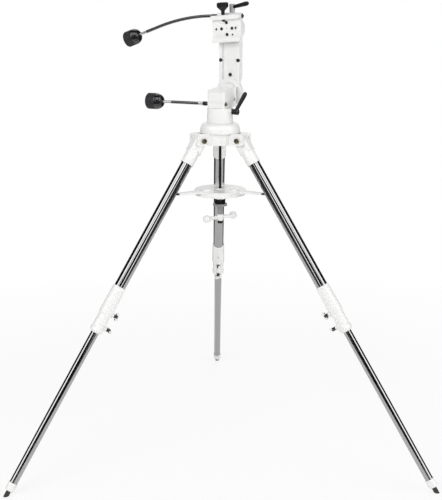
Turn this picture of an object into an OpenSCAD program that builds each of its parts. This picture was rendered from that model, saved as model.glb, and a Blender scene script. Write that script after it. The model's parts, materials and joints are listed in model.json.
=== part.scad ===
// Alt-azimuth telescope mount with worm slow motions on a folding tube tripod.
// The origin is on the floor below the azimuth axis, with +Z up and the rear leg towards +Y.

/* [Tripod] */
// Height of the leg hinges above the floor
hinge_z = 913; // [740:1:1100]
// Distance of the leg hinges from the centre line
hinge_r = 66; // [62:0.5:80]
// Lean of the spread legs from the vertical
leg_angle = 33.4; // [27:0.2:40]
// Outside diameter of the upper leg tube
upper_tube_d = 31.75; // [26:0.05:38.1]
// Outside diameter of the lower leg tube
lower_tube_d = 22.2; // [18.5:0.1:24]
// Wall of both leg tubes
tube_wall = 1.5; // [1:0.1:2]
// Distance along the leg from the hinge to the top of the coupler
coupler_at = 458; // [380:1:550]
// Length of the coupler
coupler_len = 140; // [120:1:168]
// Height of the spreader tray
tray_z = 765; // [740:1:790]
// Radius of the tray's round dish
tray_r = 71.5; // [58:0.5:84]
// Diameter of the threaded centre rod
rod_d = 8; // [6:0.5:10]

/* [Azimuth] */
// Turn of the head from square to the tripod, clockwise from above
head_yaw = 28; // [-180:1:180]
// Radius of the azimuth drum
drum_r = 35.5; // [32:0.5:44]
// Height of the azimuth drum
drum_h = 41; // [38:0.5:50]
// Width of the azimuth housing
az_box_w = 53; // [48:0.5:64]
// Height of the azimuth housing
az_box_h = 48.4; // [44:0.2:58]
// Teeth on the azimuth worm wheel
az_teeth = 26; // [26:2:32]

/* [Arm] */
// Distance from the tilt axis up to the altitude axis
arm_len = 173; // [145:1:208]
// Width of the arm
arm_w = 62.6; // [56:0.2:74]
// Radius of the tilt disc
tilt_disc_r = 39; // [34:0.5:46]

/* [Altitude] */
// Radius of the altitude housing
alt_housing_r = 37; // [36:0.5:44]
// Teeth on the altitude worm wheel
alt_teeth = 58; // [50:2:58]
// Length of the dovetail saddle
saddle_len = 86; // [72:1:104]
// Width of the dovetail groove at its mouth
groove_w = 48.6; // [40:0.1:58]
// Roll of the saddle from level, anticlockwise from the front
saddle_roll = 4; // [-90:1:90]

/* [Controls] */
// Diameter of the slow-motion knobs
knob_d = 45; // [36:0.5:54]
// Length of the slow-motion knobs
knob_len = 48; // [40:0.5:58]
// Diameter of the flexible shafts
cable_d = 8.6; // [7:0.2:10]
// Reach of the clamping levers' handles
lever_len = 62; // [50:1:72]

/* [Hidden] */
$fn = 64;
white = "#ecece8";
steel = "#b9bbbe";
black = "#1b1b1d";
brass = "#b39357";
running = 0.06;
seat_gap = 0.3;
// Overlap of joined shapes, and the reach of cuts that go right through
lap = 1;
beyond = 100;

// Tripod hub and hinges
leg_turns = [210, 330, 90];
upper_r = upper_tube_d / 2;
lower_r = lower_tube_d / 2;
yoke_wall = 2.6;
yoke_r = upper_r + yoke_wall;
tongue_r = yoke_r - 0.5;
tongue_w = 31;
tongue_side = 3.5;
yoke_len = 75;
yoke_shelf = 34;
yoke_cone = 5;
yoke_slope = 3;
socket_depth = 34;
heel_h = 10;
lug_gap = 0.5;
lug_t = 8;
lug_drop = 14.5;
lug_rise = 18;
lug_reach = 18;
lug_corner = 8;
lug_root = 30;
core_r = hinge_r - tongue_r - 1;
heel_r = core_r + 0.4;
hub_bottom = hinge_z - lug_drop;
dome_bottom = hinge_z + lug_rise;
dome_edge = 5;
hub_top = hinge_z + 44;
dome_r = core_r + 8.5;
dome_top_r = dome_r - 10.5;
hub_pocket_r = core_r - 9;
hub_pocket_h = 28;
hub_boss_r = 15;
bolt_r = 4;
hub_bore = tongue_w / 2 + lug_gap + lug_t + lap;
bolt_head_r = 7;
bolt_head_h = 5.5;
bolt_socket_r = 4;

// Leg tubes, couplers and feet, measured down the leg from the hinge
leg_len = hinge_z / cos(leg_angle);
tube_top = yoke_len - socket_depth;
coupler_wall = 2.4;
coupler_r = upper_r + coupler_wall;
clamp_r = lower_r + 5.6;
tube_seat = 72;
lower_tube_top = coupler_at - 18;
cap_len = 24;
tip_len = 17;
tip_r = 6.5;
cap_r = lower_r + 2;
cap_end_r = 9.5;
cap_floor = 9;
lower_tube_end = leg_len - tip_len - cap_floor;
cap_top = leg_len - tip_len - cap_len;
sleeve_hole_at = 45;
sleeve_hole_r = 2.6;
screw_r = 3;
screw_places = [coupler_len - 62, coupler_len - 20];
screw_boss_r = 7.5;
screw_boss_reach = clamp_r + 7;
screw_turns = [20, 65];
wing_reach = screw_boss_reach + 14;
wing_span = 24;
wing_t = 4.6;

// Centre rod and tray
rod_r = rod_d / 2;
rod_bottom = tray_z - 94;
rod_top = hub_top + 9;
tray_t = 3;
tray_rim = 15;
tray_top = tray_z + 6;
tray_boss_r = 14;
tray_boss_drop = 23;
tray_boss_rise = 8;
arm_t = 6;
arm_root_w = 36;
arm_tip_w = 13;
eyepiece_r = 16.2;
eyepiece_at = tray_r - eyepiece_r - 7;
leg_inner_r = hinge_r + (hinge_z - tray_top) * tan(leg_angle) - upper_r / cos(leg_angle);
tip_gap = 1.1;
pad_len = 6;
pad_r = 2.8;
arm_end = leg_inner_r - tip_gap - pad_len;
collar_r = 15;
collar_h = 13;
collar_flutes = 24;
flute_r = 1.4;
collar_top = tray_z - tray_boss_drop - seat_gap;
flange_r = 20;
flange_h = 6;
spacer_r = 6.5;
handle_h = 18;
handle_mid = rod_bottom + 18;
handle_r = 9;
handle_bar_r = 5;
handle_reach = 46;
ball_steps = 10;
ball_r = 11;
handle_turn = 35;
end_nut_h = 8;

// Worm drives: module 1 teeth with room for the thread's slope
worm_r = 4.75;
worm_root_r = 3.6;
worm_tip_r = 5.5;
worm_lead = PI;
worm_turns = 6;
worm_steps = 16;
tooth_add = 0.75;
tooth_ded = 1.1;
wheel_t = 5;
az_wheel_r = az_teeth / 2;
alt_wheel_r = alt_teeth / 2;
bush_r = 6.5;
bush_in = 13.5;

// Azimuth drum and housing
spindle_r = 9;
spindle_flange_r = 22;
spindle_flange_h = 5;
drum_bottom = hub_top + seat_gap;
drum_top = drum_bottom + drum_h;
drum_draft = 0.5;
drum_pocket = [16, drum_r - 6.5];
drum_pocket_h = drum_h - 15;
box_bottom = drum_top + seat_gap;
box_top = box_bottom + az_box_h;
box_front = az_wheel_r + worm_r + bush_r + 2.75;
box_back = 48;
box_corner = 6;
box_chamfer = 6;
roof_slope = 5;
roof_rise = 8;
box_rib_z = [14.5, 18.5];
box_rib = 1.2;
az_worm_y = -az_wheel_r - worm_r;
az_worm_z = drum_top + 11.7;
az_wheel_hub_r = az_wheel_r - 1.6;
wheel_room = 1.4;
az_cavity_top = az_worm_z + wheel_t / 2 + 3;
spindle_top = az_cavity_top + 18;
tilt_z = box_top - 9;
tilt_boss_r = 24;
tilt_boss_y = 54.7;
tilt_boss_root = 10;
tilt_bolt_r = 6;
tilt_bolt_y = 22;
tilt_head_r = 10;
tilt_head_h = 9;
lever_boss_r = 8.5;
lever_z = drum_top - 9;
lever_boss_x = drum_r + 0.8;
pinch_at = [az_box_w / 2, 31];
pinch_z = az_worm_z + 10;
pinch_len = 13;
small_screw_r = 3;
cap_head_r = 5;
cap_head_h = 4;
cap_socket_r = 2.9;

// Tilting arm
arm_front = tilt_boss_y + seat_gap + 0.5;
disc_front = tilt_boss_y + seat_gap;
disc_back = disc_front + 11;
disc_relief = 1.2;
disc_ring = 14;
arm_fork = 0.35;
rail_w = 9;
web_front = arm_front + 7.5;
arm_back = arm_front + 12.5;
plate_back = arm_back + 7.5;
alt_z = tilt_z + arm_len;
plate_bottom = tilt_z + 36;
arm_screw_at = [
    [-(arm_w - rail_w) / 2, arm_front + cap_head_h, tilt_z + 87],
    [(arm_w - rail_w) / 2, arm_front + cap_head_h, tilt_z + 87],
    [0, web_front + cap_head_h / 2, tilt_z + 47]];

// Altitude housing
alt_front = 47;
alt_back = 80;
alt_worm_y = 62;
alt_worm_z = alt_wheel_r + worm_r;
worm_tube_r = 8.8;
worm_tube_x = 36;
alt_cavity_r = alt_wheel_r + 2;
alt_cavity_back = 69.1;
alt_hub_r = 20;
alt_hub_back = 57;
journal_r = 10;
alt_stud_y = 74;
alt_boss_r = 5.6;
lever_boss_z = alt_housing_r + 3.8;
alt_wheel_hub_r = 16;
end_thread_r = 6;
end_nut_r = 14;
alt_end_nut_h = 8;
thread_end = 2;

// Dovetail saddle
saddle_front = 30;
groove_floor = 40;
saddle_back = alt_front - seat_gap;
rail_h = 11;
rail_slope = 2.7;
rail_bevel = 1.5;
saddle_h = groove_w + 2 * rail_h + 2.4;
saddle_screw_at = 16;
saddle_screw_r = 2.5;
saddle_head_r = 4.3;
saddle_head_h = 4.3;
saddle_socket_r = 2.4;
accessory_r = 3.4;
accessory_at = [-32, 27];
accessory_sink = 0.6;
spare_holes = [[0, 0, 1], [18, -27, 1]];
spare_depth = 3;
grub_at = [16.5, -17];
grub_r = 2.5;
grub_socket_r = 1.4;
clamp_x = -6;
clamp_r_screw = 4;
clamp_tip_z = groove_w / 2 - 5;
clamp_head_r = 16;
clamp_y = (saddle_front + groove_floor) / 2;

// Clamping levers
lever_stud_r = 3.9;
lever_hub_r = 6.4;
lever_ring_r = 8.4;
az_lever_hub = 19;
az_lever_rise = 16.7;
alt_lever_hub = 24;
alt_lever_rise = 10;
az_stud_in = lever_boss_x + seat_gap - spindle_r - 1;
alt_stud_in = alt_housing_r - journal_r - 3;

// Flexible shafts
cable_r = cable_d / 2;
ferrule_r = 3.9;
shaft_end_x = 30;
shaft_tail = 20;
az_sheath = [-57, -144];
az_collar = [-43, -32];
az_collar_r = 5.8;
az_knob_x = -172;
alt_sheath_x = -56;
alt_route = [
    [-56, 0], [-66, -0.2], [-78, -0.6], [-92, -1.5], [-108, -3], [-124, -5], [-140, -7.5],
    [-156, -10.5], [-172, -14], [-188, -18], [-204, -22.5], [-220, -27.5], [-236, -33],
    [-252, -38.5], [-264, -42.7], [-270, -44.8]];
route_end = alt_route[len(alt_route) - 1];
route_before = alt_route[len(alt_route) - 2];
knob_tilt = atan2(route_before[1] - route_end[1], route_before[0] - route_end[0]);
ferrule_len = 24;
cable_sides = 12;
knob_ribs = 28;
knob_rib_r = 1.3;

// Places: the legs, the turned head and the altitude axis
module on_leg(i) {
    rotate([0, 0, leg_turns[i]]) translate([hinge_r, 0, hinge_z]) rotate([0, -leg_angle, 0]) children();
}
module each_leg() {
    for (turn = leg_turns) rotate([0, 0, turn]) translate([hinge_r, 0, hinge_z]) children();
}
module on_head() {
    rotate([0, 0, -head_yaw]) children();
}
module on_altitude() {
    on_head() translate([0, 0, alt_z]) children();
}
module on_saddle() {
    on_altitude() rotate([0, -saddle_roll, 0]) children();
}

// Round bars along X or Y, and upright plates drawn in X and Z
module bar_x(from, to, r) {
    translate([from, 0, 0]) rotate([0, 90, 0]) cylinder(h = to - from, r = r);
}
module bar_y(from, to, r) {
    translate([0, from, 0]) rotate([-90, 0, 0]) cylinder(h = to - from, r = r);
}
module plate_y(from, to) {
    translate([0, to, 0]) rotate([90, 0, 0]) linear_extrude(to - from) children();
}
module span(from, to) {
    translate([from[0], from[1]]) square([to[0] - from[0], to[1] - from[1]]);
}

// A closed solid swept through rings of points
module sweep(rings) {
    n = len(rings[0]);
    m = len(rings);
    sides = [for (i = [0:m - 2]) for (j = [0:n - 1]) let (k = (j + 1) % n)
        each [[i * n + j, (i + 1) * n + k, i * n + k], [i * n + j, (i + 1) * n + j, (i + 1) * n + k]]];
    ends = [[for (j = [0:n - 1]) j], [for (j = [n - 1:-1:0]) (m - 1) * n + j]];
    polyhedron([for (ring = rings) each ring], concat(sides, ends));
}

// Worm thread along X and worm wheel: a wheel tooth meets the gap of the thread at -Z
function thread_section(turn) = [
    for (p = [[worm_root_r - 0.4, -0.8], [worm_tip_r, -0.35], [worm_tip_r, 0.35], [worm_root_r - 0.4, 0.8]])
        [p[1] + worm_lead * (turn / 360 - worm_turns / 2), p[0] * sin(turn), p[0] * cos(turn)]];
module worm_thread() {
    sweep([for (i = [0:worm_steps * worm_turns]) thread_section(i * 360 / worm_steps)]);
}
module worm_wheel(teeth, r, bore_r) {
    tooth = [[-0.97, r - tooth_ded], [-0.3, r + tooth_add], [0.3, r + tooth_add], [0.97, r - tooth_ded]];
    difference() {
        polygon([for (i = [0:teeth - 1]) for (p = tooth)
            let (a = 90 + 360 * i / teeth + p[0] / p[1] * 180 / PI) [p[1] * cos(a), p[1] * sin(a)]]);
        circle(r = bore_r);
    }
}
module worm_bushes(reach) {
    difference() {
        for (s = [0, 1]) mirror([s, 0, 0]) bar_x(bush_in, reach, bush_r - running);
        bar_x(-beyond, beyond, worm_root_r + running);
    }
}

// Tripod hub: domed casting with a pair of lugs for each leg
module lug_outline() {
    reach = lug_reach - lug_corner;
    top = lug_rise + lap;
    span([lug_root - hinge_r, -lug_drop], [reach, top]);
    span([reach - lap, lug_corner - lug_drop], [lug_reach, top - lug_corner]);
    for (z = [lug_corner - lug_drop, top - lug_corner]) translate([reach, z]) circle(r = lug_corner);
}
module tripod_hub() {
    color(white) difference() {
        union() {
            rotate_extrude() polygon(concat(
                [[0, dome_bottom], [dome_r, dome_bottom]],
                [for (a = [0:15:90]) [
                    dome_top_r + (dome_r - dome_top_r) * cos(a),
                    dome_bottom + dome_edge + (hub_top - dome_bottom - dome_edge) * sin(a)]],
                [[0, hub_top]]));
            translate([0, 0, hub_bottom]) cylinder(h = dome_bottom + lap - hub_bottom, r = core_r);
            each_leg() for (s = [0, 1]) mirror([0, s, 0])
                plate_y(tongue_w / 2 + lug_gap, tongue_w / 2 + lug_gap + lug_t) lug_outline();
        }
        each_leg() bar_y(-hub_bore, hub_bore, bolt_r + running);
        translate([0, 0, hub_bottom - lap]) difference() {
            cylinder(h = hub_pocket_h + lap, r = hub_pocket_r);
            cylinder(h = hub_pocket_h + lap, r = hub_boss_r);
        }
        translate([0, 0, hub_bottom - lap]) cylinder(h = beyond, r = rod_r + seat_gap);
        translate([0, 0, hub_top - spindle_flange_h]) cylinder(h = beyond, r = spindle_flange_r + running);
    }
}
module leg_hinge_bolts() {
    face = tongue_w / 2 + lug_gap + lug_t;
    color(steel) each_leg() difference() {
        union() {
            bar_y(-face - lap, face + lap, bolt_r);
            for (s = [0, 1]) mirror([0, s, 0]) bar_y(face, face + bolt_head_h, bolt_head_r);
        }
        for (s = [0, 1]) mirror([0, s, 0]) translate([0, face + bolt_head_h / 3, 0]) rotate([-90, 0, 0])
            cylinder(h = bolt_head_h, r = bolt_socket_r, $fn = 6);
    }
}

// Leg: a yoke with a flat tongue, two tubes, a coupler and a foot
module yoke_outline() {
    circle(r = tongue_r);
    span([-tongue_r, -yoke_shelf - yoke_cone], [tongue_r, 0]);
    rotate(-leg_angle) span([heel_r - hinge_r, 0], [0, heel_h]);
}
module leg_yoke(i) {
    color(white) on_leg(i) difference() {
        union() {
            intersection() {
                plate_y(-tongue_w / 2, tongue_w / 2) yoke_outline();
                union() {
                    translate([0, 0, -beyond]) cylinder(h = beyond, r = tongue_r + tongue_side);
                    translate([-beyond / 2, -beyond / 2, 0]) cube(beyond);
                }
            }
            translate([0, 0, -yoke_len]) cylinder(h = yoke_len - yoke_shelf, r = yoke_r);
            translate([0, 0, -yoke_shelf]) cylinder(h = yoke_cone, r1 = yoke_r, r2 = yoke_r - yoke_slope);
        }
        bar_y(-beyond, beyond, bolt_r + running);
        translate([0, 0, -yoke_len - lap]) cylinder(h = socket_depth + lap, r = upper_r + running);
    }
}
module leg_tube(i, top, end, r) {
    color(steel) on_leg(i) translate([0, 0, -end]) difference() {
        cylinder(h = end - top, r = r);
        translate([0, 0, -lap]) cylinder(h = end - top + 2 * lap, r = r - tube_wall);
    }
}
module upper_tube(i) {
    leg_tube(i, tube_top, coupler_at + tube_seat, upper_r);
}
module lower_tube(i) {
    leg_tube(i, lower_tube_top, lower_tube_end, lower_r);
}
module leg_coupler(i) {
    shoulder = coupler_len - 60;
    color(white) on_leg(i) translate([0, 0, -coupler_at]) difference() {
        union() {
            mirror([0, 0, 1]) rotate_extrude() polygon([
                [0, 0], [coupler_r - 1, 0], [coupler_r, 1.5], [coupler_r + 1.2, shoulder - 3],
                [coupler_r + 0.6, shoulder], [clamp_r + 0.4, shoulder + 4], [clamp_r, coupler_len - 19],
                [clamp_r + 1.6, coupler_len - 15], [clamp_r + 1.6, coupler_len - 6],
                [clamp_r - 0.8, coupler_len - 3], [lower_r + 3, coupler_len], [0, coupler_len]]);
            for (d = screw_places) translate([0, 0, -d]) bar_x(-screw_boss_reach, 0, screw_boss_r);
        }
        translate([0, 0, -tube_seat]) cylinder(h = tube_seat + lap, r = upper_r + running);
        translate([0, 0, -coupler_len - lap]) cylinder(h = coupler_len, r = lower_r + running);
        for (d = screw_places) translate([0, 0, -d]) bar_x(-beyond, 0, screw_r + running);
        translate([0, 0, -sleeve_hole_at]) bar_x(-beyond, -upper_r, sleeve_hole_r);
    }
}
module foot_cap(i) {
    color(white) on_leg(i) translate([0, 0, -cap_top]) mirror([0, 0, 1]) difference() {
        rotate_extrude() polygon(concat(
            [[0, 0], [cap_r - 0.8, 0], [cap_r, 0.8]],
            [for (a = [0:15:90]) [
                cap_end_r + (cap_r - cap_end_r) * cos(a), cap_len - 6 + 6 * sin(a)]],
            [[0, cap_len]]));
        translate([0, 0, -lap]) cylinder(h = lower_tube_end - cap_top + lap, r = lower_r + running);
    }
}
module foot_tip(i) {
    color(black) difference() {
        on_leg(i) translate([0, 0, -leg_len - tip_len]) cylinder(h = 2 * tip_len, r = tip_r);
        translate([0, 0, -beyond]) cylinder(h = beyond, r = 2 * leg_len);
    }
}
module wing_screw(i, which) {
    bar = wing_span / 2 - wing_t;
    place = -coupler_at - screw_places[which];
    color(white) on_leg(i) translate([0, 0, place]) rotate([screw_turns[which], 0, 0]) {
        bar_x(-wing_reach, -lower_r - 0.4, screw_r);
        bar_x(-wing_reach, -screw_boss_reach - 1, screw_r + 2);
        plate_y(-wing_t / 2, wing_t / 2) difference() {
            union() {
                span([-wing_reach - 4, -bar], [5 - wing_reach, bar]);
                for (s = [-1, 1]) translate([0.5 - wing_reach, s * bar]) circle(r = wing_t);
            }
            for (s = [-1, 1]) translate([5.8 - wing_reach, s * 5.2]) circle(r = 1.8);
        }
    }
}

// Centre rod, spreader tray and its locking handle
module centre_rod() {
    color(steel) translate([0, 0, rod_bottom]) cylinder(h = rod_top - rod_bottom, r = rod_r);
}
module tray_outline() {
    circle(r = tray_r);
    for (turn = leg_turns) rotate(turn) polygon([
        [0, -arm_root_w / 2], [tray_r - 18, -arm_root_w / 2], [arm_end, -arm_tip_w / 2],
        [arm_end, arm_tip_w / 2], [tray_r - 18, arm_root_w / 2], [0, arm_root_w / 2]]);
}
module tray() {
    color(white) difference() {
        union() {
            translate([0, 0, tray_top - tray_t]) linear_extrude(tray_t) tray_outline();
            translate([0, 0, tray_top - tray_rim]) cylinder(h = tray_rim, r = tray_r);
            translate([0, 0, tray_top - arm_t]) linear_extrude(arm_t) tray_outline();
            translate([0, 0, tray_z - tray_boss_drop])
                cylinder(h = tray_boss_drop + tray_boss_rise, r = tray_boss_r);
        }
        translate([0, 0, tray_top - tray_rim - lap]) difference() {
            cylinder(h = tray_rim + lap - tray_t, r = tray_r - tray_t);
            cylinder(h = tray_rim + lap, r = tray_boss_r);
        }
        for (turn = leg_turns) rotate(turn) translate([eyepiece_at, 0, tray_top - tray_rim - lap])
            cylinder(h = beyond, r = eyepiece_r);
        translate([0, 0, tray_z - tray_boss_drop - lap]) cylinder(h = beyond, r = rod_r + running);
    }
}
module tray_pads() {
    color(black) for (turn = leg_turns) rotate(turn)
        translate([0, 0, tray_top - arm_t / 2]) bar_x(arm_end, arm_end + pad_len, pad_r);
}
module tray_collar() {
    color(black) translate([0, 0, collar_top - collar_h]) difference() {
        cylinder(h = collar_h, r = collar_r);
        for (i = [1:collar_flutes]) rotate(360 * i / collar_flutes) translate([collar_r + 0.6, 0, -lap])
            cylinder(h = collar_h + 2 * lap, r = flute_r);
        translate([0, 0, -lap]) cylinder(h = collar_h + 2 * lap, r = rod_r + running);
    }
}
module rod_hardware() {
    spacer_top = collar_top - collar_h;
    spacer_bottom = handle_mid + handle_h / 2 + seat_gap;
    color(steel) difference() {
        union() {
            translate([0, 0, spacer_top - flange_h]) cylinder(h = flange_h, r = flange_r);
            translate([0, 0, spacer_bottom]) cylinder(h = spacer_top - spacer_bottom, r = spacer_r);
            translate([0, 0, handle_mid - handle_h / 2 - seat_gap - end_nut_h])
                cylinder(h = end_nut_h, r = spacer_r + 0.8, $fn = 6);
        }
        translate([0, 0, rod_bottom - lap]) cylinder(h = beyond, r = rod_r + running);
    }
}
module tray_handle() {
    last = acos(handle_bar_r / ball_r);
    ball = [for (i = [0:ball_steps]) let (a = i * (last + 90) / ball_steps - 90)
        [ball_r * cos(a), ball_r * sin(a) - handle_reach]];
    color(white) translate([0, 0, handle_mid]) rotate(handle_turn) difference() {
        union() {
            cylinder(h = handle_h, r = handle_r, center = true);
            rotate([0, 90, 0]) rotate_extrude()
                polygon(concat(ball, [for (i = [ball_steps:-1:0]) [ball[i][0], -ball[i][1]]]));
        }
        cylinder(h = handle_h + 2 * lap, r = rod_r + running, center = true);
    }
}

// Azimuth: a drum that slips on the spindle and carries the worm wheel, and the housing that the worm drives
module azimuth_spindle() {
    color(steel) translate([0, 0, hub_top - spindle_flange_h]) difference() {
        union() {
            cylinder(h = spindle_flange_h, r = spindle_flange_r);
            cylinder(h = spindle_top - hub_top + spindle_flange_h, r = spindle_r);
        }
        translate([0, 0, -lap])
            cylinder(h = rod_top - hub_top + spindle_flange_h + 2 * lap, r = rod_r + running);
    }
}
module azimuth_drum() {
    color(white) on_head() difference() {
        union() {
            translate([0, 0, drum_bottom])
                cylinder(h = drum_h, r1 = drum_r + drum_draft, r2 = drum_r - drum_draft);
            translate([0, 0, lever_z]) bar_x(drum_r - 8, lever_boss_x, lever_boss_r);
        }
        translate([0, 0, drum_bottom - lap]) cylinder(h = drum_h + 2 * lap, r = spindle_r + running);
        translate([0, 0, drum_bottom - lap]) difference() {
            cylinder(h = drum_pocket_h + lap, r = drum_pocket[1]);
            cylinder(h = drum_pocket_h + lap, r = drum_pocket[0]);
        }
        translate([0, 0, lever_z]) bar_x(0, lever_boss_x + lap, lever_stud_r + running);
    }
}
module azimuth_wheel() {
    color(brass) on_head() {
        translate([0, 0, az_worm_z - wheel_t / 2]) rotate(180)
            linear_extrude(wheel_t) worm_wheel(az_teeth, az_wheel_r, spindle_r + running);
        translate([0, 0, drum_top]) difference() {
            cylinder(h = az_worm_z - wheel_t / 2 - drum_top, r = az_wheel_hub_r);
            translate([0, 0, -lap]) cylinder(h = beyond, r = spindle_r + running);
        }
    }
}
module azimuth_outline() {
    w = az_box_w / 2;
    span([-w, -box_front + box_corner], [w, box_back]);
    span([-w + box_corner, -box_front], [w - box_corner, box_back]);
    for (s = [-1, 1]) translate([s * (w - box_corner), box_corner - box_front]) circle(r = box_corner);
}
module azimuth_box() {
    difference() {
        translate([0, 0, box_bottom]) linear_extrude(az_box_h + roof_rise) azimuth_outline();
        translate([0, -box_front, box_top]) rotate([roof_slope, 0, 0])
            translate([-beyond, -beyond, 0]) cube(2 * beyond);
        translate([0, -box_front, box_top - box_chamfer]) rotate([45, 0, 0])
            translate([-beyond / 2, -beyond / 2, 0]) cube(beyond);
        for (z = box_rib_z) translate([-beyond / 2, -box_front - lap, box_bottom + z])
            cube([beyond, lap + box_rib, box_rib]);
    }
}
module azimuth_housing() {
    color(white) on_head() difference() {
        union() {
            azimuth_box();
            translate([0, 0, tilt_z]) bar_y(box_back - tilt_boss_root, tilt_boss_y, tilt_boss_r);
        }
        translate([0, 0, box_bottom - lap])
            cylinder(h = az_cavity_top - box_bottom + lap, r = az_wheel_r + wheel_room);
        translate([0, 0, box_bottom - lap])
            cylinder(h = spindle_top - box_bottom + 3 * lap, r = spindle_r + running);
        translate([0, az_worm_y, az_worm_z]) bar_x(-beyond, beyond, bush_r);
        translate([0, 0, tilt_z]) bar_y(tilt_bolt_y, beyond, tilt_bolt_r + running);
        translate([0, pinch_at[1], pinch_z])
            bar_x(pinch_at[0] - pinch_len - lap, beyond, small_screw_r + running);
    }
}
module azimuth_worm() {
    color(steel) on_head() translate([0, az_worm_y, az_worm_z]) rotate([90, 0, 0]) {
        bar_x(-shaft_end_x - shaft_tail, shaft_end_x, worm_root_r);
        worm_thread();
    }
}
module azimuth_bushes() {
    color(brass) on_head() translate([0, az_worm_y, az_worm_z]) worm_bushes(az_box_w / 2);
}
module azimuth_ferrules() {
    color(steel) on_head() translate([0, az_worm_y, az_worm_z]) {
        difference() {
            union() {
                bar_x(az_sheath[0], az_collar[1], ferrule_r + 1);
                bar_x(az_collar[0], az_collar[1], az_collar_r);
            }
            bar_x(-shaft_end_x - shaft_tail, 0, worm_root_r + running);
        }
        bar_x(az_knob_x, az_sheath[1], ferrule_r);
    }
}
module azimuth_cable() {
    color(black) on_head() translate([0, az_worm_y, az_worm_z]) bar_x(az_sheath[1], az_sheath[0], cable_r);
}

// Slow-motion knob along +Z: a smooth dome at the cable, then a ribbed grip with a flat end
module control_knob() {
    r = knob_d / 2;
    dome = knob_len * 0.38;
    difference() {
        rotate_extrude() polygon([
            [0, 0], [r * 0.3, 0], [r * 0.42, 0.6], [r * 0.62, dome * 0.14], [r * 0.8, dome * 0.36],
            [r * 0.92, dome * 0.64], [r * 0.985, dome * 0.93], [r, dome + 1], [r, knob_len - 2.5],
            [r - 1.2, knob_len - 0.8], [r - 3.2, knob_len], [0, knob_len]]);
        for (i = [1:knob_ribs]) rotate(360 * i / knob_ribs) translate([r + 0.3, 0, dome + 2])
            cylinder(h = knob_len, r = knob_rib_r, $fn = 24);
    }
}
module azimuth_knob() {
    color(black) on_head() translate([az_knob_x, az_worm_y, az_worm_z]) rotate([0, -90, 0]) control_knob();
}

// Clamping lever along +Z: a steel stud with its hub, and a black handle that rises away from it
module lever_stud(inner, hub) {
    translate([0, 0, -inner]) cylinder(h = inner + lap, r = lever_stud_r);
    cylinder(h = hub + lap, r = lever_hub_r);
}
module lever_handle(hub, root, rise) {
    difference() {
        union() {
            translate([0, 0, 2]) cylinder(h = hub - 2, r1 = lever_ring_r - 0.8, r2 = lever_ring_r);
            translate([0, 0, root]) rotate([0, 90 - rise, 0]) rotate_extrude() polygon([
                [0, 0], [5, 0], [4.9, lever_len * 0.2], [5.5, lever_len * 0.5], [6.1, lever_len * 0.78],
                [5.9, lever_len * 0.9], [4.6, lever_len * 0.97], [2.4, lever_len], [0, lever_len]]);
        }
        translate([0, 0, -lap]) cylinder(h = beyond, r = lever_hub_r + running);
    }
}
module on_azimuth_lever() {
    on_head() translate([lever_boss_x + seat_gap, 0, lever_z]) rotate([0, 90, 0]) rotate(150) children();
}
module on_altitude_lever() {
    on_altitude() translate([0, alt_stud_y, lever_boss_z + seat_gap]) rotate(-18) children();
}
module azimuth_lever() {
    color(black) on_azimuth_lever() lever_handle(az_lever_hub, az_lever_hub * 0.56, az_lever_rise);
}
module azimuth_lever_stud() {
    color(steel) on_azimuth_lever() lever_stud(az_stud_in, az_lever_hub);
}
module altitude_lever() {
    color(black) on_altitude_lever() lever_handle(alt_lever_hub, alt_lever_hub - 8, alt_lever_rise);
}
module altitude_lever_stud() {
    color(steel) on_altitude_lever() lever_stud(alt_stud_in, alt_lever_hub);
}

// Arm that tilts on the azimuth housing, and the screws that join the altitude housing to it
module cap_screw(shank) {
    translate([0, 0, -shank]) cylinder(h = shank + lap, r = small_screw_r);
    difference() {
        cylinder(h = cap_head_h, r = cap_head_r);
        translate([0, 0, cap_head_h / 2]) cylinder(h = cap_head_h, r = cap_socket_r, $fn = 6);
    }
}
module tilt_bolts() {
    color(black) on_head() {
        translate([0, 0, tilt_z]) {
            bar_y(tilt_bolt_y, disc_back + lap, tilt_bolt_r);
            bar_y(disc_back + seat_gap, disc_back + tilt_head_h, tilt_head_r);
        }
        translate([pinch_at[0], pinch_at[1], pinch_z]) rotate([0, 90, 0]) cap_screw(pinch_len);
    }
}
module tilt_arm() {
    w = arm_w / 2;
    color(white) on_head() difference() {
        union() {
            translate([0, 0, tilt_z]) bar_y(disc_front, disc_back, tilt_disc_r);
            plate_y(web_front, arm_back) span([-w, tilt_z], [w, alt_z]);
            for (s = [0, 1]) mirror([s, 0, 0])
                plate_y(arm_front, arm_back) span([w - rail_w, tilt_z], [w, alt_z]);
            plate_y(arm_front, arm_back) intersection() {
                span([-w, tilt_z], [w, tilt_z + tilt_disc_r]);
                translate([0, tilt_z]) circle(r = tilt_disc_r);
            }
        }
        translate([0, 0, tilt_z]) bar_y(0, beyond, tilt_bolt_r + running);
        translate([0, 0, tilt_z]) bar_y(disc_back, beyond, tilt_head_r + lap);
        translate([0, 0, alt_z]) bar_y(0, beyond, alt_housing_r + seat_gap);
        for (p = arm_screw_at) translate(p) {
            bar_y(-lap, beyond, small_screw_r + running);
            bar_y(-cap_head_h - lap, 0, cap_head_r + seat_gap);
        }
        translate([0, 0, alt_z]) plate_y(0, beyond)
            span([-w - lap, -alt_housing_r * arm_fork], [w + lap, alt_housing_r]);
        plate_y(arm_back, beyond) span([-w - lap, plate_bottom], [w + lap, alt_z]);
        translate([0, 0, tilt_z]) bar_y(disc_front - lap, disc_front + disc_relief, tilt_disc_r - disc_ring);
    }
}
module arm_screws() {
    color(black) on_head() for (p = arm_screw_at) translate(p) rotate([90, 0, 0])
        cap_screw(plate_back - p[1] - 2 * lap);
}

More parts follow.
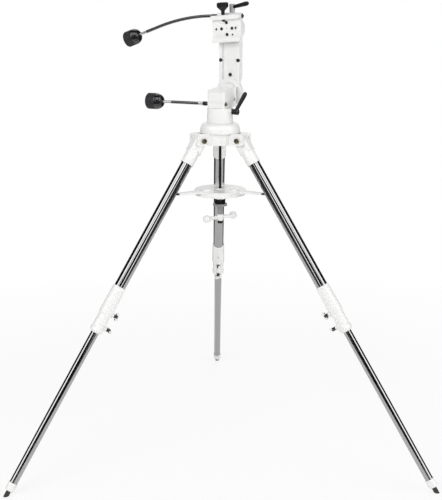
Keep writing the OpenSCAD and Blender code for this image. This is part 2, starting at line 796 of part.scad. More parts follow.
// Altitude: a housing with a front cover and the worm across its top, the wheel, and the shaft
module altitude_housing() {
    w = arm_w / 2;
    color(white) on_head() difference() {
        union() {
            translate([0, 0, alt_z]) bar_y(alt_front, alt_back, alt_housing_r);
            translate([0, alt_worm_y, alt_z + alt_worm_z]) bar_x(-worm_tube_x, worm_tube_x, worm_tube_r);
            translate([0, alt_stud_y, alt_z]) cylinder(h = lever_boss_z, r = alt_boss_r);
            plate_y(arm_back, plate_back) span([-w, plate_bottom], [w, alt_z]);
        }
        translate([0, 0, alt_z]) {
            bar_y(alt_front - lap, alt_cavity_back, alt_cavity_r);
            bar_y(0, beyond, journal_r + running);
            translate([0, alt_worm_y, alt_worm_z]) bar_x(-beyond, beyond, bush_r);
            translate([0, alt_stud_y, 0]) cylinder(h = beyond, r = lever_stud_r + running);
        }
        for (p = arm_screw_at) translate(p) bar_y(-lap, beyond, small_screw_r + running);
    }
    color(white) on_altitude() difference() {
        bar_y(alt_front, alt_hub_back, alt_cavity_r - running);
        bar_y(0, beyond, alt_hub_r + running);
    }
}
module altitude_shaft() {
    color(steel) on_altitude() difference() {
        union() {
            bar_y(saddle_back, alt_hub_back, alt_hub_r);
            bar_y(saddle_back, alt_back + lap, journal_r);
            bar_y(saddle_back, alt_back + alt_end_nut_h + thread_end, end_thread_r);
            translate([0, alt_back + seat_gap, 0]) rotate([-90, 0, 0])
                cylinder(h = alt_end_nut_h, r = end_nut_r, $fn = 6);
        }
        rotate([0, -saddle_roll, 0]) for (a = [0:90:270]) rotate([0, a, 0])
            translate([saddle_screw_at, 0, 0]) bar_y(0, alt_hub_back - lap, saddle_screw_r + running);
    }
}
module altitude_wheel() {
    color(brass) on_altitude() {
        translate([0, alt_worm_y + wheel_t / 2, 0]) rotate([90, 0, 0])
            linear_extrude(wheel_t) worm_wheel(alt_teeth, alt_wheel_r, journal_r + running);
        difference() {
            union() {
                bar_y(alt_hub_back + seat_gap, alt_worm_y - wheel_t / 2, alt_wheel_hub_r);
                bar_y(alt_worm_y + wheel_t / 2, alt_cavity_back - seat_gap, alt_wheel_hub_r);
            }
            bar_y(0, beyond, journal_r + running);
        }
    }
}
module on_altitude_worm() {
    on_altitude() translate([0, alt_worm_y, alt_worm_z]) children();
}
module altitude_worm() {
    color(steel) on_altitude_worm() {
        bar_x(-worm_tube_x - 4, worm_tube_x + 4, worm_root_r);
        worm_thread();
        bar_x(alt_sheath_x, -worm_tube_x - 2, ferrule_r + 1);
    }
}
module altitude_bushes() {
    color(brass) on_altitude_worm() worm_bushes(worm_tube_x + 0.8);
}
module altitude_cable() {
    count = len(alt_route) - 1;
    color(black) on_altitude_worm() sweep([for (i = [0:count])
        let (p = alt_route[i], before = alt_route[max(0, i - 1)], after = alt_route[min(count, i + 1)])
        let (slope = i == 0 ? 0 : atan2(before[1] - after[1], before[0] - after[0]))
        [for (j = [0:cable_sides - 1]) let (a = 360 * j / cable_sides)
            [p[0] - cable_r * cos(a) * sin(slope), cable_r * sin(a), p[1] + cable_r * cos(a) * cos(slope)]]]);
}
module on_cable_end() {
    on_altitude_worm() translate([route_end[0], 0, route_end[1]]) rotate([0, -90 - knob_tilt, 0]) children();
}
module altitude_ferrule() {
    color(steel) on_cable_end() cylinder(h = ferrule_len, r = ferrule_r);
}
module altitude_knob() {
    color(black) on_cable_end() translate([0, 0, ferrule_len]) control_knob();
}

// Dovetail saddle: a drilled plate, two sloped rails and a clamp screw
module saddle_bar() {
    translate([-saddle_len / 2, 0, 0]) rotate([90, 0, 90]) linear_extrude(saddle_len) children();
}
module rail_outline() {
    half = groove_w / 2;
    top = saddle_h / 2;
    polygon([[groove_floor, half + rail_slope], [saddle_front, half], [saddle_front, top - rail_bevel],
        [saddle_front + rail_bevel, top], [groove_floor, top]]);
}
module saddle() {
    color(white) on_saddle() difference() {
        saddle_bar() span([groove_floor, -saddle_h / 2], [saddle_back, saddle_h / 2]);
        for (a = [0:90:270]) rotate([0, a, 0]) translate([saddle_screw_at, 0, 0]) {
            bar_y(0, beyond, saddle_screw_r + running);
            bar_y(0, groove_floor + saddle_head_h, saddle_head_r + seat_gap);
        }
        for (x = accessory_at) translate([x, groove_floor, 0]) {
            bar_y(-lap, beyond, accessory_r);
            translate([0, accessory_sink, 0]) rotate([90, 0, 0])
                cylinder(h = accessory_sink + lap, r1 = accessory_r, r2 = accessory_r + accessory_sink + lap);
        }
        for (p = spare_holes) translate([p[0], groove_floor, p[1]]) bar_y(-lap, spare_depth, p[2]);
        translate([grub_at[0], groove_floor, grub_at[1]]) bar_y(-lap, beyond, grub_r + running);
    }
}
module saddle_rails() {
    color(white) on_saddle() difference() {
        for (s = [0, 1]) mirror([0, 0, s]) saddle_bar() rail_outline();
        translate([clamp_x, clamp_y, 0]) cylinder(h = beyond, r = clamp_r_screw + running);
    }
}
module saddle_screws() {
    color(black) on_saddle() for (a = [0:90:270]) rotate([0, a, 0])
        translate([saddle_screw_at, groove_floor, 0]) difference() {
            union() {
                bar_y(lap, alt_hub_back - groove_floor - 3 * lap, saddle_screw_r);
                bar_y(seat_gap, saddle_head_h, saddle_head_r);
            }
            translate([0, saddle_head_h * 0.6, 0]) rotate([90, 0, 0])
                cylinder(h = saddle_head_h, r = saddle_socket_r, $fn = 6);
        }
    color(black) on_saddle() translate([grub_at[0], groove_floor, grub_at[1]]) difference() {
        bar_y(seat_gap, saddle_back - groove_floor - lap, grub_r);
        translate([0, spare_depth, 0]) rotate([90, 0, 0]) cylinder(h = beyond, r = grub_socket_r, $fn = 6);
    }
}
module clamp_knob() {
    base = saddle_h / 2;
    r = clamp_head_r;
    color(black) on_saddle() translate([clamp_x, clamp_y, 0]) difference() {
        rotate_extrude() polygon([
            [0, clamp_tip_z], [clamp_r_screw - 0.8, clamp_tip_z], [clamp_r_screw, clamp_tip_z + 1],
            [clamp_r_screw, base + 0.5],
            [5, base + 0.5], [5, base + 11], [r - 2, base + 20], [r, base + 22], [r, base + 31],
            [r - 2.5, base + 33.5], [0, base + 34]]);
        for (a = [0:45:315]) rotate(a) translate([r + 2.6, 0, base + 15]) cylinder(h = 30, r = 4.4);
    }
}

tripod_hub();
leg_hinge_bolts();
leg_yoke(0);  // yoke_left
leg_yoke(1);  // yoke_right
leg_yoke(2);  // yoke_rear
upper_tube(0);  // upper_tube_left
upper_tube(1);  // upper_tube_right
upper_tube(2);  // upper_tube_rear
leg_coupler(0);  // coupler_left
leg_coupler(1);  // coupler_right
leg_coupler(2);  // coupler_rear
lower_tube(0);  // lower_tube_left
lower_tube(1);  // lower_tube_right
lower_tube(2);  // lower_tube_rear
foot_cap(0);  // foot_cap_left
foot_cap(1);  // foot_cap_right
foot_cap(2);  // foot_cap_rear
foot_tip(0);  // foot_tip_left
foot_tip(1);  // foot_tip_right
foot_tip(2);  // foot_tip_rear
wing_screw(0, 0);  // wing_screw_left_upper
wing_screw(0, 1);  // wing_screw_left_lower
wing_screw(1, 0);  // wing_screw_right_upper
wing_screw(1, 1);  // wing_screw_right_lower
wing_screw(2, 0);  // wing_screw_rear_upper
wing_screw(2, 1);  // wing_screw_rear_lower
centre_rod();
rod_hardware();
tray();
tray_pads();
tray_collar();
tray_handle();
azimuth_spindle();
azimuth_drum();
azimuth_wheel();
azimuth_housing();
azimuth_worm();
azimuth_bushes();
azimuth_lever();
azimuth_lever_stud();
azimuth_cable();
azimuth_ferrules();
azimuth_knob();
tilt_bolts();
tilt_arm();
arm_screws();
altitude_housing();
altitude_shaft();
altitude_wheel();
altitude_worm();
altitude_bushes();
altitude_lever();
altitude_lever_stud();
altitude_cable();
altitude_ferrule();
altitude_knob();
saddle();
saddle_rails();
saddle_screws();
clamp_knob();
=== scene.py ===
"""Looks of an alt-azimuth telescope mount on a folding tube tripod."""
import json
import math

import bmesh
import bpy
from mathutils import Matrix, Vector


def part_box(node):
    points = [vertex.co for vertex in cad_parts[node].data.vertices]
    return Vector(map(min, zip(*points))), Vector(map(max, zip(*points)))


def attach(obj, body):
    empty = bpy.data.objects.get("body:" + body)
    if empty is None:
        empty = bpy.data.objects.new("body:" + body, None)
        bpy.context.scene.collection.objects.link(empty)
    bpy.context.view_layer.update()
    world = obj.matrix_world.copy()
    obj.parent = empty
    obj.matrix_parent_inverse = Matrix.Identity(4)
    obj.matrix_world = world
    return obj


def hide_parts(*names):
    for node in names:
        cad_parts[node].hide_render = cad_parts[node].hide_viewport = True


bl_info = {
    "name": "Telescope mount finish",
    "version": (1, 0, 0),
    "blender": (4, 5, 0),
    "location": "View3D > Sidebar > Mount",
    "description": "Castings, tubes, knobs, levers and cables of an alt-azimuth mount",
    "category": "Object",
}

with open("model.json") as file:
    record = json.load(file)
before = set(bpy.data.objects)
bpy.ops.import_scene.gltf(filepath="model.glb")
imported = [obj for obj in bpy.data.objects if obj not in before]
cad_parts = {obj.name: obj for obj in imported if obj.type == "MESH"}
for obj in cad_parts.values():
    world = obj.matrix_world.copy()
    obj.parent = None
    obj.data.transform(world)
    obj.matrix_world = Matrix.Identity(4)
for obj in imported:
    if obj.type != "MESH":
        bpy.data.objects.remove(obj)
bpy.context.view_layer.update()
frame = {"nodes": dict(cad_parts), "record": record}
RECORD = frame["record"]
BODY_OF = {node: body for body, nodes in RECORD["behaviour"]["bodies"].items() for node in nodes}
SLOT_OF = {part["node"]: part["material_slot"] for part in RECORD["subparts"]}

# Places on the part, in metres and degrees
LEG_TURNS = {"left": 210, "right": 330, "rear": 90}
HINGE = (0.066, 0, 0.913)
LEG_LEAN = 33.4
HEAD_YAW = 28
SADDLE = (0, 0, 1.211)
SADDLE_ROLL = 4
AZIMUTH_WORM = (0, -0.01775, 1.010)
ALTITUDE_WORM = (0, 0.062, 1.24475)

# Flexible shafts, each from its own worm: X along the worm, Z up
AZIMUTH_SHEATH = (-0.057, -0.144)
AZIMUTH_POINTS = 16
ALTITUDE_ROUTE = (
    (-0.056, 0), (-0.066, -0.0002), (-0.078, -0.0006), (-0.092, -0.0015),
    (-0.108, -0.003), (-0.124, -0.005), (-0.140, -0.0075), (-0.156, -0.0105),
    (-0.172, -0.014), (-0.188, -0.018), (-0.204, -0.0225), (-0.220, -0.0275),
    (-0.236, -0.033), (-0.252, -0.0385), (-0.264, -0.0427), (-0.270, -0.0448))
AZIMUTH_KNOB = (-0.172, 0, 0)
ALTITUDE_KNOB = (-0.2927, 0, -0.0527)
ALTITUDE_SLOPE = 19.3
SHEATH_ROUNDNESS = 5

# Where one piece changes its finish
KNOB_DOME = 0.0192
FERRULE_BAND = (-0.0432, -0.03)
WING_SCREW_SHANK = -0.0335
PINCH_SCREW_TOP = 1.0265
# The altitude lever's hub is painted light: partly a plated hub, partly a painted highlight
LEVER_Y = 0.074
LEVER_HUB = 0.0088
# The saddle's small holes: their walls and bottoms are painted dark, partly bare thread and partly
# painted shade
SADDLE_HOLES = (  # x, z and radius in the saddle's own frame
    (-0.032, 0, 0.0034), (0.027, 0, 0.0034), (0, 0, 0.001), (0.018, -0.027, 0.001))
HOLE_ROOM = 1.02
HOLE_FACE_AREA = 4e-5

# Thread of the centre rod
ROD_SIDES = 24
ROD_END_STEP = 0.0009
THREAD_DEPTH = 0.0007
THREAD_START = 0.0004
THREAD_ENDS = 0.001
CREST_FROM, CREST_TO = 0.42, 0.55

# Cleaning and rounding of meshes, angles in degrees
WELD = 2e-6
FLAT_ANGLE = 0.4
SHARP_ANGLE = 32
BEVEL_ANGLE = 36
TURNED_ANGLE = 40
ON_AXIS = 1e-7
EDGE_STEPS = 2
CASTING_STEPS = 3
SMALL_CASTING = 0.8

# Camera, its angles in radians
CAMERA_PLACE = (-0.0442, -2.6174, 1.2588)
CAMERA_YAW, CAMERA_PITCH = 0.0169, 0.2494
CAMERA_LENS = 67.66
CAMERA_SHIFT = 0.0018
CAMERA_REACH = 50

# Lamps: name, place, size and watts
LAMPS = (
    ("Key", (-1.9, -2.6, 2.3), 2.0, 59),
    ("Fill", (2.8, -1.3, 1.5), 2.6, 44),
    ("Rim", (0.6, 2.8, 3.0), 2.2, 18))
LAMP_TARGET = (0, 0, 0.8)

# Floor: distances from the middle where it turns white, and where its reflection turns dark
FLOOR_HALF, FLOOR_CELLS, FLOOR_DROP = 14, 8, 0.0005
FLOOR_ROUGHNESS = 0.9
WHITE_FROM, WHITE_TO, WHITE_AT_PART = 0.8, 2.0, 0.8
DARK_FROM, DARK_TO = 1.1, 1.5
PAPER, DARK_PAPER = (0.9, 0.9, 0.9, 1), (0.008, 0.008, 0.008, 1)

# World: even light, and the studio that reflections show
WHITE = (1, 1, 1, 1)
EVEN_LIGHT = 0.54
STUDIO_LIGHT, STUDIO_DARK = 1.9, 0.008
STUDIO_LAMPS = (  # turn from the front and half the width, height and half the reach
    (0.96, 0.30, 0.45, 0.35), (0.42, 0.09, 0.11, 0.10), (0.0, 0.5, 0.66, 0.22))
BACK_TURN, BACK_SHARE = 2.6, 0.5

# Shares that all finishes have in common
COAT_ROUGHNESS = 0.08
WIDE_GRAIN = 0.22
RIB_SHARE = 0.6


class MountSizes(bpy.types.PropertyGroup):
    """Sizes that a user would change"""

    cable_diameter: bpy.props.FloatProperty(
        name="Cable diameter", description="Outside of the flexible shafts",
        default=0.0086, unit="LENGTH")
    casting_edge: bpy.props.FloatProperty(
        name="Casting edge", description="Rounding of the cast edges",
        default=0.0011, unit="LENGTH")
    machined_edge: bpy.props.FloatProperty(
        name="Machined edge", description="Chamfer of turned and milled edges",
        default=0.0004, unit="LENGTH")
    thread_pitch: bpy.props.FloatProperty(
        name="Thread pitch", description="Pitch of the centre rod's thread",
        default=0.00125, unit="LENGTH")


class MountFinishes(bpy.types.PropertyGroup):
    """Colours that a user would change"""

    paint: bpy.props.FloatVectorProperty(
        name="Paint", description="Gloss paint of the castings",
        subtype="COLOR", default=(0.86, 0.86, 0.85))
    tube: bpy.props.FloatVectorProperty(
        name="Tube", description="Polished tube of the legs",
        subtype="COLOR", default=(0.50, 0.50, 0.50))
    plastic: bpy.props.FloatVectorProperty(
        name="Plastic", description="Black knobs and handles",
        subtype="COLOR", default=(0.009, 0.009, 0.010))
    brass: bpy.props.FloatVectorProperty(
        name="Brass", description="Bushes and worm wheels",
        subtype="COLOR", default=(0.66, 0.47, 0.21))


# Frames of the legs, the head and the knobs

def turn_about(axis, degrees):
    return Matrix.Rotation(math.radians(degrees), 4, axis)


def on_leg(side):
    """A leg's own frame, at its hinge and with Z along its tubes"""
    return turn_about("Z", LEG_TURNS[side]) @ Matrix.Translation(HINGE) @ turn_about("Y", -LEG_LEAN)


def on_head(point=(0, 0, 0)):
    """The head's own frame, moved to a point on it"""
    return turn_about("Z", -HEAD_YAW) @ Matrix.Translation(point)


def on_knob(place, start, slope):
    """A knob's own frame, with Z along it from its smooth end"""
    return place @ Matrix.Translation(start) @ turn_about("Y", -90 - slope)


# Shared surface effects

def group_nodes(name, inputs, outputs):
    """A node group with its sockets; gives its tree, input node and output node"""
    tree = bpy.data.node_groups.new(name, "ShaderNodeTree")
    for label, kind, value in inputs:
        socket = tree.interface.new_socket(label, in_out="INPUT", socket_type=kind)
        if value is not None:
            socket.default_value = value
    for label, kind in outputs:
        tree.interface.new_socket(label, in_out="OUTPUT", socket_type=kind)
    return tree, tree.nodes.new("NodeGroupInput"), tree.nodes.new("NodeGroupOutput")


def join(tree, *pairs):
    """Links each output to its input"""
    for source, target in pairs:
        tree.links.new(source, target)


def fill(node, values):
    """Sets a node's inputs by their labels"""
    for label, value in values.items():
        node.inputs[label].default_value = value


def calc(tree, operation, *values):
    """A math node fed with sockets or numbers; gives its output"""
    node = tree.nodes.new("ShaderNodeMath")
    node.operation = operation
    for socket, value in zip(node.inputs, values):
        if isinstance(value, bpy.types.NodeSocket):
            tree.links.new(value, socket)
        else:
            socket.default_value = value
    return node.outputs[0]


def handling_group():
    """Slow changes of colour and gloss, from handling and dust"""
    grey = (0.5, 0.5, 0.5, 1)
    tree, given, made = group_nodes(
        "Handling",
        [("Vector", "NodeSocketVector", None), ("Color", "NodeSocketColor", grey),
         ("Dusty", "NodeSocketColor", grey), ("Patch Scale", "NodeSocketFloat", 18.0),
         ("Amount", "NodeSocketFloat", 0.5), ("Roughness", "NodeSocketFloat", 0.3),
         ("Spread", "NodeSocketFloat", 0.1)],
        [("Color", "NodeSocketColor"), ("Roughness", "NodeSocketFloat")])
    patches = tree.nodes.new("ShaderNodeTexNoise")
    fill(patches, {"Detail": 4})
    patch = patches.outputs["Fac"]
    mix = tree.nodes.new("ShaderNodeMix")
    mix.data_type = "RGBA"
    dust = calc(tree, "MULTIPLY", patch, given.outputs["Amount"])
    gloss = calc(
        tree, "MULTIPLY_ADD", patch, given.outputs["Spread"], given.outputs["Roughness"])
    join(tree,
         (given.outputs["Vector"], patches.inputs["Vector"]),
         (given.outputs["Patch Scale"], patches.inputs["Scale"]),
         (dust, mix.inputs["Factor"]),
         (given.outputs["Color"], mix.inputs["A"]),
         (given.outputs["Dusty"], mix.inputs["B"]),
         (mix.outputs["Result"], made.inputs["Color"]),
         (gloss, made.inputs["Roughness"]))


def grain_group():
    """Fine height of paint, mouldings and brushed metal"""
    tree, given, made = group_nodes(
        "Grain",
        [("Vector", "NodeSocketVector", None), ("Scale", "NodeSocketFloat", 900.0),
         ("Coarse", "NodeSocketFloat", 0.4)],
        [("Height", "NodeSocketFloat")])
    fine = tree.nodes.new("ShaderNodeTexNoise")
    fill(fine, {"Detail": 2})
    wide = tree.nodes.new("ShaderNodeTexNoise")
    blend = tree.nodes.new("ShaderNodeMix")
    join(tree,
         (given.outputs["Vector"], fine.inputs["Vector"]),
         (given.outputs["Scale"], fine.inputs["Scale"]),
         (given.outputs["Vector"], wide.inputs["Vector"]),
         (calc(tree, "MULTIPLY", given.outputs["Scale"], WIDE_GRAIN), wide.inputs["Scale"]),
         (given.outputs["Coarse"], blend.inputs["Factor"]),
         (fine.outputs["Fac"], blend.inputs["A"]),
         (wide.outputs["Fac"], blend.inputs["B"]),
         (blend.outputs["Result"], made.inputs["Height"]))


class Finish:
    """One material, made from the shared effects"""

    def __init__(self, name, color, dusty, rough, spread, patch, amount, grain, metal=0.0,
                 coarse=0.4, height=0.00003, stretch=(1, 1, 1), coat=0.0, sheen=0.5):
        self.material = bpy.data.materials.new(name)
        self.material.use_nodes = True
        tree = self.material.node_tree
        shader = tree.nodes["Principled BSDF"]
        fill(shader, {"Metallic": metal, "Coat Weight": coat, "Coat Roughness": COAT_ROUGHNESS,
                      "Specular IOR Level": sheen})
        place = tree.nodes.new("ShaderNodeTexCoord")
        lay = tree.nodes.new("ShaderNodeMapping")
        fill(lay, {"Scale": stretch})
        handling = tree.nodes.new("ShaderNodeGroup")
        handling.node_tree = bpy.data.node_groups["Handling"]
        fill(handling, {"Color": (*color, 1), "Dusty": (*dusty, 1), "Patch Scale": patch,
                        "Amount": amount, "Roughness": rough, "Spread": spread})
        texture = tree.nodes.new("ShaderNodeGroup")
        texture.node_tree = bpy.data.node_groups["Grain"]
        fill(texture, {"Scale": grain, "Coarse": coarse})
        bump = tree.nodes.new("ShaderNodeBump")
        fill(bump, {"Distance": height, "Strength": 1.0})
        join(tree,
             (place.outputs["Object"], lay.inputs["Vector"]),
             (lay.outputs["Vector"], handling.inputs["Vector"]),
             (lay.outputs["Vector"], texture.inputs["Vector"]),
             (handling.outputs["Color"], shader.inputs["Base Color"]),
             (handling.outputs["Roughness"], shader.inputs["Roughness"]),
             (texture.outputs["Height"], bump.inputs["Height"]),
             (bump.outputs["Normal"], shader.inputs["Normal"]))
        self.tree, self.place, self.bump, self.texture = tree, place, bump, texture

    def ribs(self, pitch):
        """Adds regular ribs along the piece's X axis"""
        wave = self.tree.nodes.new("ShaderNodeTexWave")
        wave.bands_direction = "X"
        # A wave texture of scale 1 repeats every pi / 10
        fill(wave, {"Scale": math.pi / (10 * pitch)})
        mix = self.tree.nodes.new("ShaderNodeMix")
        fill(mix, {"Factor": RIB_SHARE})
        join(self.tree,
             (self.place.outputs["Object"], wave.inputs["Vector"]),
             (self.texture.outputs["Height"], mix.inputs["A"]),
             (wave.outputs["Fac"], mix.inputs["B"]),
             (mix.outputs["Result"], self.bump.inputs["Height"]))
        return self


FINISHES = {}


def finish(name):
    return FINISHES[name].material


def shade(color, factor):
    return tuple(min(1, c * factor) for c in color)


def make_finishes(look):
    """Makes every material; those of the drives are named as the record's slots"""
    handling_group()
    grain_group()
    paint, tube, black, brass = (
        tuple(c) for c in (look.paint, look.tube, look.plastic, look.brass))
    FINISHES.update({
        "white_paint": Finish(
            "White paint", paint, shade(paint, 0.94), rough=0.24, spread=0.14, patch=14,
            amount=0.55, grain=700, coarse=0.65, height=0.000012, coat=0.35),
        "tube_steel": Finish(
            "Polished tube", tube, shade(tube, 0.82), rough=0.05, spread=0.05, patch=22,
            amount=0.6, grain=2600, metal=1, coarse=0.1, height=0.0000006, stretch=(1, 1, 0.02)),
        "bolt_steel": Finish(
            "Zinc plate", (0.42, 0.37, 0.27), (0.25, 0.22, 0.17), rough=0.28, spread=0.16,
            patch=120, amount=0.8, grain=2500, metal=1),
        "rod_steel": Finish(
            "Dark rod", (0.16, 0.16, 0.165), (0.07, 0.07, 0.07), rough=0.26, spread=0.16,
            patch=60, amount=0.8, grain=2200, metal=1, stretch=(1, 1, 0.3)),
        "black_steel": Finish(
            "Black oxide", (0.018, 0.018, 0.02), (0.05, 0.048, 0.045), rough=0.3, spread=0.15,
            patch=150, amount=0.5, grain=2600, coat=0.2),
        "chrome": Finish(
            "Bright plate", (0.78, 0.78, 0.79), (0.6, 0.6, 0.61), rough=0.16, spread=0.12,
            patch=90, amount=0.6, grain=3000, metal=1, height=0.000006),
        # Dark finish of the saddle's small holes: partly bare thread, partly painted shade in the
        # holes
        "bare_thread": Finish(
            "Bare thread and painted shade", (0.10, 0.10, 0.105), (0.18, 0.18, 0.18), rough=0.4, spread=0.2,
            patch=200, amount=0.7, grain=2600, metal=0.4),
        # On the altitude lever's hub this light plate also stands for a painted highlight
        "satin_plate": Finish(
            "Satin plate and painted highlight", (0.80, 0.80, 0.80), (0.68, 0.68, 0.68), rough=0.3, spread=0.12,
            patch=120, amount=0.6, grain=2800, metal=0.4, height=0.00001),
        "grey_plate": Finish(
            "Grey plate", (0.40, 0.40, 0.40), (0.30, 0.30, 0.30), rough=0.34, spread=0.14,
            patch=120, amount=0.6, grain=2600, metal=0.3, height=0.00001),
        "brass": Finish(
            "Turned brass", brass, shade(brass, 0.6), rough=0.22, spread=0.15,
            patch=110, amount=0.8, grain=2400, metal=1),
        "black_plastic": Finish(
            "Black moulding", black, shade(black, 2.6), rough=0.30, spread=0.16, patch=60,
            amount=0.45, grain=2200, coarse=0.25, height=0.00002, coat=0.12, sheen=0.25),
        "cable_sheath": Finish(
            "Cable sheath", (0.008, 0.008, 0.008), (0.020, 0.019, 0.018), rough=0.10, spread=0.06,
            patch=80, amount=0.5, grain=1800, height=0.000008, coat=1.0, sheen=1.0).ribs(0.0021),
        "knob_dome": Finish(
            "Gloss moulding", black, shade(black, 2.2), rough=0.08, spread=0.06,
            patch=70, amount=0.4, grain=2400, height=0.000004, coat=1.0),
        "knob_grip": Finish(
            "Ribbed grip", shade(black, 3.0), shade(black, 5.0), rough=0.42, spread=0.16,
            patch=90, amount=0.6, grain=1600, height=0.00004, sheen=0.3),
        "rubber": Finish(
            "Black rubber", (0.017, 0.017, 0.017), (0.06, 0.058, 0.055), rough=0.55, spread=0.2,
            patch=90, amount=0.6, grain=1500, height=0.00008),
    })


# Pieces

def settle(obj, name, node, material):
    """Gives a finished piece its place on its body"""
    obj.name = name
    obj.data.materials.clear()
    obj.data.materials.append(material)
    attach(obj, BODY_OF[node])
    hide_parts(node)
    return obj


def clean_mesh(node, place):
    """The node's mesh, welded and with its flat faces joined, in the place's own frame"""
    source = frame["nodes"][node].data
    bm = bmesh.new()
    verts = [bm.verts.new(v.co) for v in source.vertices]
    for polygon in source.polygons:
        bm.faces.new([verts[i] for i in polygon.vertices])
    bmesh.ops.remove_doubles(bm, verts=bm.verts, dist=WELD)
    bmesh.ops.dissolve_degenerate(bm, edges=bm.edges, dist=WELD)
    bmesh.ops.dissolve_limit(
        bm, angle_limit=math.radians(FLAT_ANGLE), verts=bm.verts, edges=bm.edges)
    bmesh.ops.recalc_face_normals(bm, faces=bm.faces)
    bm.transform(place.inverted())
    return bm


def link(name, bm, place, sharp=SHARP_ANGLE):
    """A new object from a mesh, smooth but for its sharp edges"""
    mesh = bpy.data.meshes.new(name)
    bm.to_mesh(mesh)
    bm.free()
    for polygon in mesh.polygons:
        polygon.use_smooth = True
    mesh.set_sharp_from_angle(angle=math.radians(sharp))
    obj = bpy.data.objects.new(name, mesh)
    bpy.context.scene.collection.objects.link(obj)
    obj.matrix_world = place
    return obj


def rounded(node, name, place, material, edge, steps=EDGE_STEPS):
    """A node's shape with its edges rounded"""
    obj = settle(link(name, clean_mesh(node, place), place), name, node, material)
    bevel = obj.modifiers.new("Rounded edges", "BEVEL")
    bevel.width = edge
    bevel.segments = steps
    bevel.limit_method = "ANGLE"
    bevel.angle_limit = math.radians(BEVEL_ANGLE)
    bevel.use_clamp_overlap = True
    bevel.harden_normals = True
    return obj


def turned(profile, name, place, around):
    """A turned piece from (radius, height) points"""
    bm = bmesh.new()
    rings = []
    for radius, height in profile:
        if radius < ON_AXIS:
            rings.append([bm.verts.new((0, 0, height))])
            continue
        rings.append([
            bm.verts.new((radius * math.cos(a), radius * math.sin(a), height))
            for a in (math.tau * k / around for k in range(around))])
    for low, high in zip(rings, rings[1:]):
        for k in range(around):
            n = (k + 1) % around
            corners = [low[k % len(low)], low[n % len(low)],
                       high[n % len(high)], high[k % len(high)]]
            unique = [v for i, v in enumerate(corners) if v not in corners[:i]]
            if len(unique) > 2:
                bm.faces.new(unique)
    bmesh.ops.recalc_face_normals(bm, faces=bm.faces)
    return link(name, bm, place, TURNED_ANGLE)


def two_tone(obj, material, inside):
    """Gives the faces that a test picks a second material"""
    obj.data.materials.append(material)
    for polygon in obj.data.polygons:
        if inside(polygon):
            polygon.material_index = 1


def aim(obj, direction):
    """Points a camera or lamp along a direction"""
    obj.rotation_euler = direction.to_track_quat("-Z", "Y").to_euler()


class MountOperator(bpy.types.Operator):
    """Shared access to the sizes, and pieces with the two kinds of edge"""

    bl_options = {"REGISTER", "UNDO"}

    @property
    def sizes(self):
        return bpy.context.scene.mount_sizes

    def casting(self, node, place, share=1, kind="casting"):
        edge = self.sizes.casting_edge * share
        return rounded(node, f"{node}_{kind}", place, finish("white_paint"), edge, CASTING_STEPS)

    def machined(self, node, place, look, kind):
        return rounded(node, f"{node}_{kind}", place, finish(look), self.sizes.machined_edge)


